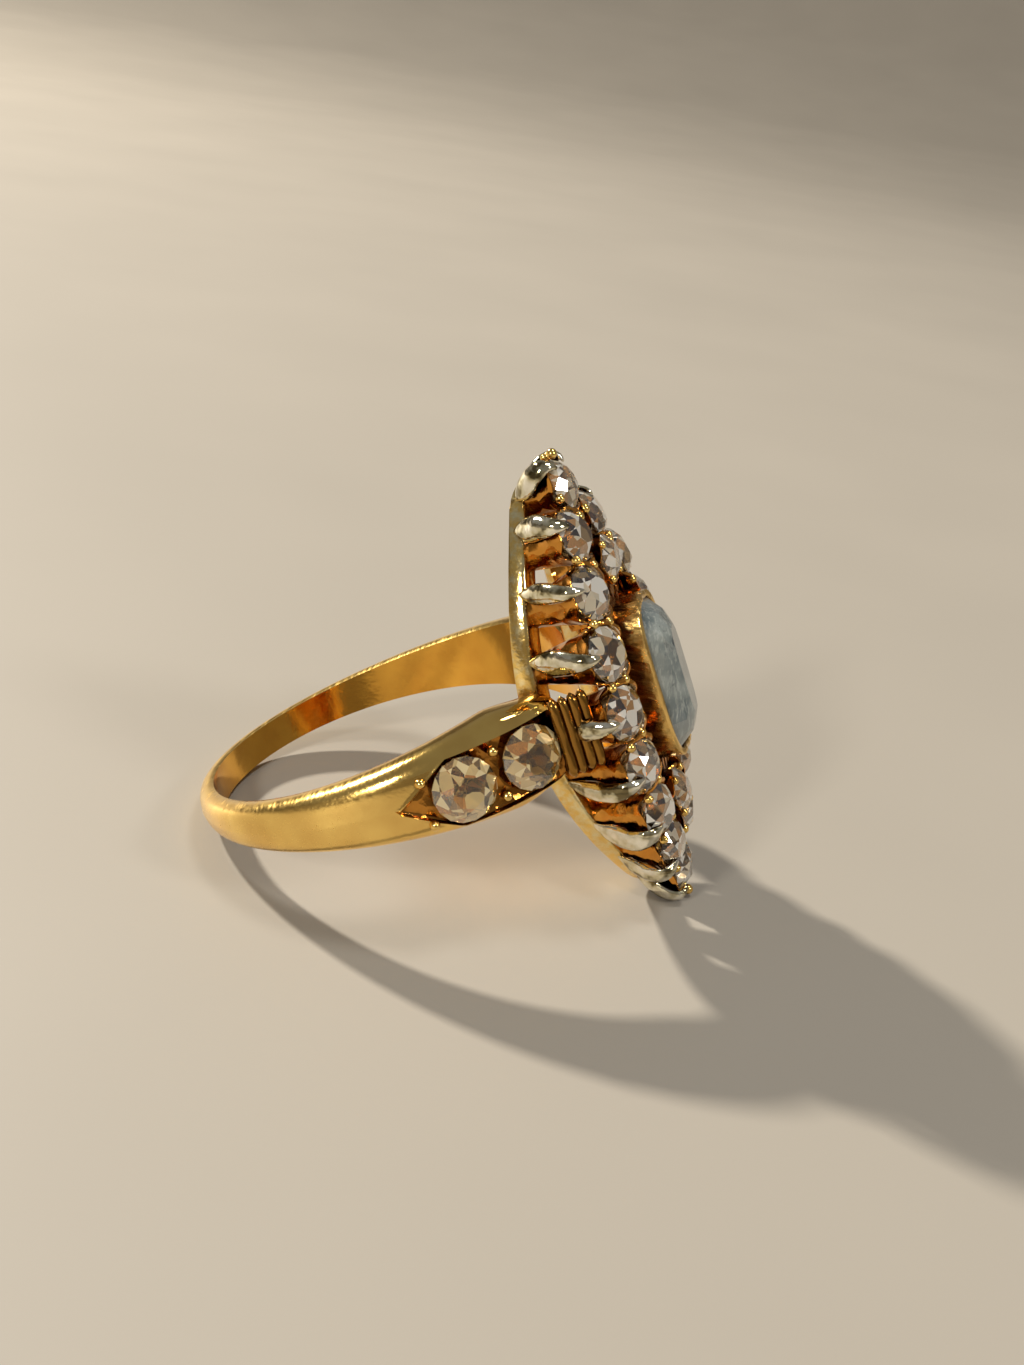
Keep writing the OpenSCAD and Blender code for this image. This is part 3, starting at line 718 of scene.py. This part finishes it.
def collet(parts, at, h, foot, stone_r, claws, seed, cols=60, splay=0.0):
    """Tapered collet with a rim that is scooped between its claws and lies aslant under a leaning stone."""
    rim = stone_r + WALL
    outer, inner = [], []
    for j in range(COLLET_ROWS + 1):
        t = j / COLLET_ROWS
        ro, ri = [], []
        for a in turns(cols):
            near = max(math.cos(a - c) for c in claws)
            dip = SCOOP * (1 - smoothstep(SCOOP_FROM, SCOOP_TO, near))
            top = (RIM_UP - dip) / math.cos(splay) - rim * math.cos(a) * math.tan(splay)
            z = -h + (top + h) * t
            full = (z + h) / h
            r = foot + (rim - foot) * max(full, 0) ** FLARE + FOOT_LOBES * math.sin(3 * a + seed) * (1 - full)
            ro.append(wobble(at(r * math.cos(a), r * math.sin(a), z), 0.6, 0.02, seed))
            q = r - WALL
            if z * math.cos(splay) + q * math.cos(a) * math.sin(splay) > SEAT_FROM:
                q = max(q, stone_r + COLLET_CLEARANCE)
            ri.append(at(q * math.cos(a), q * math.sin(a), z))
        outer.append(ro)
        inner.append(ri)
    lip = [0.5 * (a + b) + LIP * at.n for a, b in zip(outer[-1], inner[-1])]
    parts.loft(outer + [lip] + inner[::-1], closed=True, split=COLLET_ROWS + 2)


def make_collets():
    parts = Parts()
    for i in range(COUNT):
        g, n, x, h, splay, _ = border(i)
        claws = TIP_CLAWS if is_tip(i) else BORDER_CLAWS
        collet(parts, Local(g, n, x), h, FOOT_D / 2, STONE_D / 2, claws, i * 1.7, splay=splay)
    for s in (1, -1):
        at = Local(inner_place(s), V(1, 0, 0), V(0, 0, s))
        collet(parts, at, INNER_COLLET_H, INNER_FOOT_R, INNER_D / 2, INNER_CLAWS, 40 + s, cols=48)
    return parts.make("gold_collets", MAT["collet"], second=MAT["lining"], sharp=45)


LEAF_STEPS, LEAF_SIDES = 26, 14
# Shares of a leaf's half thickness on its outer and its inner side, and how much its edges curl inwards
LEAF_OUTER, LEAF_INNER, LEAF_CURL = 1.35, 0.65, 0.35


def leaf(parts, at, path, width, thick, seed):
    """Leaf-shaped blade along a path of points given in a collet's frame, flat side towards the collet."""
    path = np.array(path, float)
    seg = np.concatenate([[0], np.cumsum(np.linalg.norm(np.diff(path, axis=0), axis=1))])

    def along(s):
        return V(*(np.interp(min(max(s, 0), seg[-1]), seg, path[:, c]) for c in range(3)))

    def share(u, row):
        return np.interp(u, [k / (len(row) - 1) for k in range(len(row))], row)

    rings = []
    for j in range(LEAF_STEPS + 1):
        u = j / LEAF_STEPS
        s = seg[-1] * u
        d = unit(along(s + 0.05) - along(s - 0.05))
        side = unit(V(0, 1, 0) - d[1] * d)
        out = np.cross(side, d)
        w, t = share(u, width) / 2, share(u, thick) / 2
        ring = []
        for a in turns(LEAF_SIDES):
            y = w * math.sin(a)
            x = t * math.cos(a) * (LEAF_OUTER if math.cos(a) > 0 else LEAF_INNER) - LEAF_CURL * y * y
            e = along(s) + out * x + side * y
            ring.append(wobble(at(*e), 0.5, 0.03, seed))
        rings.append(ring)
    parts.loft(rings)


def smooth_path(pts, rounds=3):
    """The same path with its corners cut."""
    pts = [V(*p) for p in pts]
    for _ in range(rounds):
        new = [pts[0]]
        for a, b in zip(pts, pts[1:]):
            new += [0.75 * a + 0.25 * b, 0.25 * a + 0.75 * b]
        pts = new + [pts[-1]]
    return pts


# Path of a claw in a collet's frame. Stem: share of the way out from foot to rim, share of the height.
CLAW_STEM = [(0.05, -0.95), (0.4, -0.78), (0.72, -0.56), (1.14, -0.28), (1.2, -0.08)]
# Tip, in the stone's frame: distance out from the rim, height above the girdle
CLAW_TIP = [(0.1, 0.08), (-0.06, 0.27), (-0.38, 0.36)]
CLAW_TIP_LOW = [(0.12, 0.1), (-0.08, 0.3), (-0.6, 0.42)]
# Width and thickness of a claw from foot to point
CLAW_WIDTH = (0.2, 0.62, 0.95, 1.06, 1.0, 0.9, 0.78, 0.52, 0.18)
CLAW_WIDTH_AT_TIPS = (0.3, 0.9, 1.25, 1.35, 1.25, 1.1, 0.85, 0.5, 0.2)
CLAW_THICK = (0.12, 0.22, 0.32, 0.36, 0.36, 0.34, 0.3, 0.24, 0.12)
# Angles of the claws on a tip stone, from its outer side
TIP_CLAW_TURNS = (0.75, -0.75)
# How far the lower claws sag towards the lower tip, along their stems and at their points,
# and the stones over which the sag grows, counted from the upper tip
SAG, SAG_POINT, SAG_FROM, SAG_TO = 0.45, 0.12, 4.2, 5.5


def make_claws():
    parts = Parts()
    rim = STONE_D / 2 + WALL
    foot = FOOT_D / 2
    for i in range(COUNT):
        g, n, x, h, splay, side = border(i)
        step = i if i <= COUNT / 2 else COUNT - i
        tip = is_tip(i)
        low = 0.0 if tip else smoothstep(SAG_FROM, SAG_TO, step)
        for j, turn in enumerate(TIP_CLAW_TURNS if tip else (0.0,)):
            at = Local(g, n, math.cos(turn) * x + math.sin(turn) * np.cross(n, x))
            slant = 0 if tip else side * CLAW_SLANT * max(0, math.cos(math.pi * step / (COUNT / 2)))
            drop = rim * math.sin(splay) * math.cos(turn)
            c, s = math.cos(splay), math.sin(splay)
            path = [(foot + (rim - foot) * a, -slant * b, h * b - drop * (1 + b)) for a, b in CLAW_STEM]
            path = [(a, b - side * low * SAG * math.sin(math.pi * min(1, -d / h)), d) for a, b, d in path]
            for out, up in (CLAW_TIP_LOW if low > 0.5 else CLAW_TIP):
                a = rim + out
                path.append((a * c + up * s, -side * low * SAG_POINT, up * c - a * s))
            # no two claws are equally wide, and the lower ones are wider
            k = 1 + 0.12 * math.sin(i * 2.3) + 0.2 * low
            width = [q * k for q in (CLAW_WIDTH_AT_TIPS if tip else CLAW_WIDTH)]
            leaf(parts, at, smooth_path(path), width, CLAW_THICK, i * 3.1 + j)
    return parts.make("silver_claws", MAT["silver"], sharp=60)


# Grains between two border stones: distance outwards and upwards from between their girdles, radius
OUTER_GRAIN, INNER_GRAIN = (0.62, 0.06, 0.2), (-0.6, 0.12, 0.24)
# Grains stacked at each tip: height above the girdle, radius
TIP_GRAINS = [(0.0, 0.2), (0.16, 0.19), (0.34, 0.23)]
# Grains of a shoulder: degrees towards the head from its farther stone, distance along the finger
SHOULDER_GRAINS = [(PITCH / 2, 0.98), (PITCH + 6.4, 1.12), (-6.0, 0.92)]
SHOULDER_GRAIN_R = 0.22
# Grains round an inner stone: radius, height above its girdle
ROUND_INNER_R, ROUND_INNER_UP = 0.18, 0.1
# How far past the edge of a tip stone or an inner stone the grains stand
GRAIN_OUT = 0.08


def make_grains():
    parts = Parts()
    for i in range(COUNT):
        g, n, x = border(i)[:3]
        g2, n2, x2 = border((i + 1) % COUNT)[:3]
        m, nn, xx = (g + g2) / 2, unit(n + n2), unit(x + x2)
        for (out, up, r), seed in ((OUTER_GRAIN, i * 1.3), (INNER_GRAIN, i * 2.7 + 5)):
            parts.ball(m + out * xx + up * nn, r, seed)
    for s in (1, -1):
        g, n, x = border(0 if s > 0 else COUNT // 2)[:3]
        for up, r in TIP_GRAINS:
            parts.ball(g + x * (STONE_D / 2 + GRAIN_OUT) + n * up, r, s * 9.0)
        out = INNER_D / 2 + GRAIN_OUT
        for k in range(4):
            a = math.radians(45 + 90 * k)
            place = inner_place(s) + V(ROUND_INNER_UP, out * math.cos(a), out * math.sin(a))
            parts.ball(place, ROUND_INNER_R, k + s * 4.0)
    for side in (-1, 1):
        for turn, w in SHOULDER_GRAINS:
            at = shoulder_frame(side, turn)
            for e in (-1, 1):
                parts.ball(at(e * w, 0, 0.0), SHOULDER_GRAIN_R, turn + 7 * side + e)
    return parts.make("gold_grains", MAT["gold"], sharp=0)


CUSHION_POWER = 3.4


def cushion(hl, hw, n):
    """Outline of the centre stone: n pairs of y and z."""
    def swell(q):
        return math.copysign(abs(q) ** (2 / CUSHION_POWER), q)

    return [(swell(math.cos(a)) * hw, swell(math.sin(a)) * hl) for a in turns(n)]


# Section of the bezel: distance outwards from the girdle's outline, height above the girdle
BEZEL_SECTION = [(0.22, -1.7), (0.24, -1.1), (0.27, -0.4), (0.3, 0.02), (0.3, 0.09), (0.27, 0.14),
                 (0.2, 0.16), (0.1, 0.155), (0.04, 0.13), (0.015, 0.07), (0.02, -0.03), (-0.08, -0.35),
                 (-0.3, -0.7), (-0.3, -1.7)]
BEZEL_STEPS = 288
# Height of the file marks on the bezel's wall, and depth of the notches in its lip at the short ends
RIB, NOTCH = 0.014, 0.035


def make_bezel():
    top = FINGER_R + HEAD_H + CENTRE_RISE
    rings = []
    for off, h in BEZEL_SECTION:
        ring = []
        pts = cushion(CENTRE_L / 2 + off, CENTRE_W / 2 + off, BEZEL_STEPS)
        for k, (t, l) in enumerate(pts):
            out = unit(V(0, t / CENTRE_W, l / CENTRE_L))
            p = V(top + h, t, l)
            if off > 0.15:
                p = p + RIB * noise.noise(Vector((k * 0.55, 3.0, h * 0.25))) * out
            end = smoothstep(0.86, 0.97, abs(l) / (CENTRE_L / 2))
            if h > 0.1:
                p = p - V(NOTCH * end * (0.5 + 0.5 * math.cos(k * 2 * math.pi / 6)), 0, 0)
            ring.append(wobble(p, 1.2, 0.012, 8.0))
        rings.append(ring)
    parts = Parts()
    parts.loft(rings[::-1], closed=True)
    return parts.make("gold_bezel", MAT["bezel"], sharp=35)


# Top plate: how far it stays inside the stones' line and below their girdles, its thickness and end width
PLATE_INSET, PLATE_DROP, PLATE_T, PLATE_END, PLATE_STEPS = 0.25, 0.14, 0.42, 0.06, 80


def make_plate():
    hl, hw = HEAD_L / 2 - PLATE_INSET, HEAD_W / 2 - PLATE_INSET
    rho = (hl * hl + hw * hw) / (2 * hw)
    rings = []
    for k in range(PLATE_STEPS + 1):
        l = -hl + 2 * hl * k / PLATE_STEPS
        w = max(math.sqrt(rho * rho - l * l) - rho + hw, PLATE_END)
        top = face_r(l) - PLATE_DROP
        ring = [wobble(V(top + 0.02 * math.cos(u * 1.5), u * w, l), 0.8, 0.02, 1.0)
                for u in np.linspace(-1, 1, 13)]
        ring += [V(top - PLATE_T, u * w, l) for u in np.linspace(1, -1, 5)]
        rings.append(ring)
    parts = Parts()
    parts.loft(rings[::-1])
    return parts.make("gold_top_plate", MAT["collet"], sharp=50)


# Ridges beside the head: x and y of the first and the last one, their number, radius and steps in length
RIDGE_FIRST, RIDGE_LAST = (9.2, 5.5), (10.25, 4.85)
RIDGES, RIDGE_R, RIDGE_STEPS = 4, 0.235, 24


def make_ridges():
    parts = Parts()
    for side in (-1, 1):
        for k in range(RIDGES):
            x = RIDGE_FIRST[0] + (RIDGE_LAST[0] - RIDGE_FIRST[0]) * k / (RIDGES - 1)
            y = side * (RIDGE_FIRST[1] + (RIDGE_LAST[1] - RIDGE_FIRST[1]) * k / (RIDGES - 1))
            rings = []
            for j in range(RIDGE_STEPS + 1):
                u = j / RIDGE_STEPS
                z = (u - 0.5) * RIDGE_L
                # full thickness along most of the length, with rounded ends
                r = RIDGE_R * math.sqrt(max(0.02, 1 - abs(2 * u - 1) ** 10))
                rings.append([wobble(V(x + r * math.cos(a), y + r * math.sin(a), z), 0.7, 0.03, k + side)
                              for a in turns(16)])
            parts.loft(rings)
    return parts.make("gold_shoulder_ridges", MAT["ridge"], sharp=50)


made = [make_shank(), make_rail(), make_collets(), make_claws(), make_grains(), make_bezel(),
        make_plate(), make_ridges()]
for o in made:
    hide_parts("mount")

# The stones keep their CAD meshes and take their finish by name. All others are open set diamonds.
STONE_FINISH = {"centre_stone": "sapphire", "shoulder_stone": "sunk_diamond"}
for name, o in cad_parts.items():
    if name != "mount":
        o.data.materials.clear()
        o.data.materials.append(MAT[STONE_FINISH.get(name.rstrip("_0123456789"), "diamond")])
        for p in o.data.polygons:
            p.use_smooth = False

# Stage: a floor that rises into a round wall far behind, seen as one plain surface.
# Radius and height in metres.
STAGE = [(0.05, 0), (0.2, 0), (0.45, 0), (0.6, 0.01), (0.72, 0.045), (0.82, 0.11), (0.88, 0.2), (0.9, 0.32)]
STAGE_SIDES = 96


def make_stage():
    verts = [(0, 0, cad_low[2])]
    for r, z in STAGE:
        verts += [(r * math.cos(a), r * math.sin(a), cad_low[2] + z) for a in turns(STAGE_SIDES)]
    n = STAGE_SIDES
    faces = [(0, 1 + k, 1 + (k + 1) % n) for k in range(n)]
    for j in range(len(STAGE) - 1):
        a, b = 1 + j * n, 1 + (j + 1) * n
        faces += [(a + k, b + k, b + (k + 1) % n, a + (k + 1) % n) for k in range(n)]
    me = bpy.data.meshes.new("floor")
    me.from_pydata(verts, [], faces)
    for q in me.polygons:
        q.use_smooth = True
    me.materials.append(MAT["floor"])
    o = bpy.data.objects.new("floor", me)
    bpy.context.scene.collection.objects.link(o)


# Lights: name, place in metres, diameter, power, colour
LIGHTS = [
    ("key", (-0.52, 0.25, 0.38), 0.045, 8.8, (1.0, 0.93, 0.82)),
    ("right", (0.42, -0.1, 0.3), 0.1, 0.9, (1.0, 0.98, 0.94)),
    ("top", (0.1, 0.05, 0.5), 0.12, 0.8, (1.0, 0.98, 0.94)),
    ("near", (-0.16, -0.42, 0.24), 0.07, 1.3, (1.0, 0.96, 0.88)),
]
LIT_PLACE = Vector((0.003, 0, 0))
WORLD_COLOUR, WORLD_STRENGTH = (0.95, 0.92, 0.88, 1), 0.22


def area_light(name, place, size, power, colour):
    d = bpy.data.lights.new(name, "AREA")
    d.shape, d.size, d.energy, d.color = "DISK", size, power, colour
    o = bpy.data.objects.new(name, d)
    o.location = Vector(place)
    o.rotation_euler = (LIT_PLACE - Vector(place)).to_track_quat("-Z", "Y").to_euler()
    o.visible_camera = False
    bpy.context.scene.collection.objects.link(o)


make_stage()
for light in LIGHTS:
    area_light(*light)

world = bpy.data.worlds.new("studio")
bpy.context.scene.world = world
world.use_nodes = True
bg = world.node_tree.nodes["Background"]
bg.inputs["Color"].default_value = WORLD_COLOUR
bg.inputs["Strength"].default_value = WORLD_STRENGTH

scene = bpy.context.scene
scene.view_settings.view_transform = "Standard"
scene.view_settings.look = "None"

# Camera fitted to the photo: focal length and photo width in its pixels, place in millimetres, directions
FOCAL_PX, PHOTO_W, SENSOR = 1523.036, 1024, 36
CAMERA_PLACE = Vector((15.556, -60.132, 30.36))
RIGHT = Vector((0.9618, 0.2345, 0.1411))
DOWN = Vector((0.2213, -0.3634, -0.9049))
FORWARD = Vector((-0.1609, 0.9016, -0.4015))
cam = bpy.data.cameras.new("camera")
cam.sensor_width, cam.sensor_fit = SENSOR, "HORIZONTAL"
cam.lens = FOCAL_PX / PHOTO_W * SENSOR
cam.clip_start, cam.clip_end = 0.001, 10
camera = bpy.data.objects.new("camera", cam)
m = Matrix((RIGHT, -DOWN, -FORWARD)).transposed().to_4x4()
m.translation = CAMERA_PLACE * MM
camera.matrix_world = m
scene.collection.objects.link(camera)
scene.camera = camera
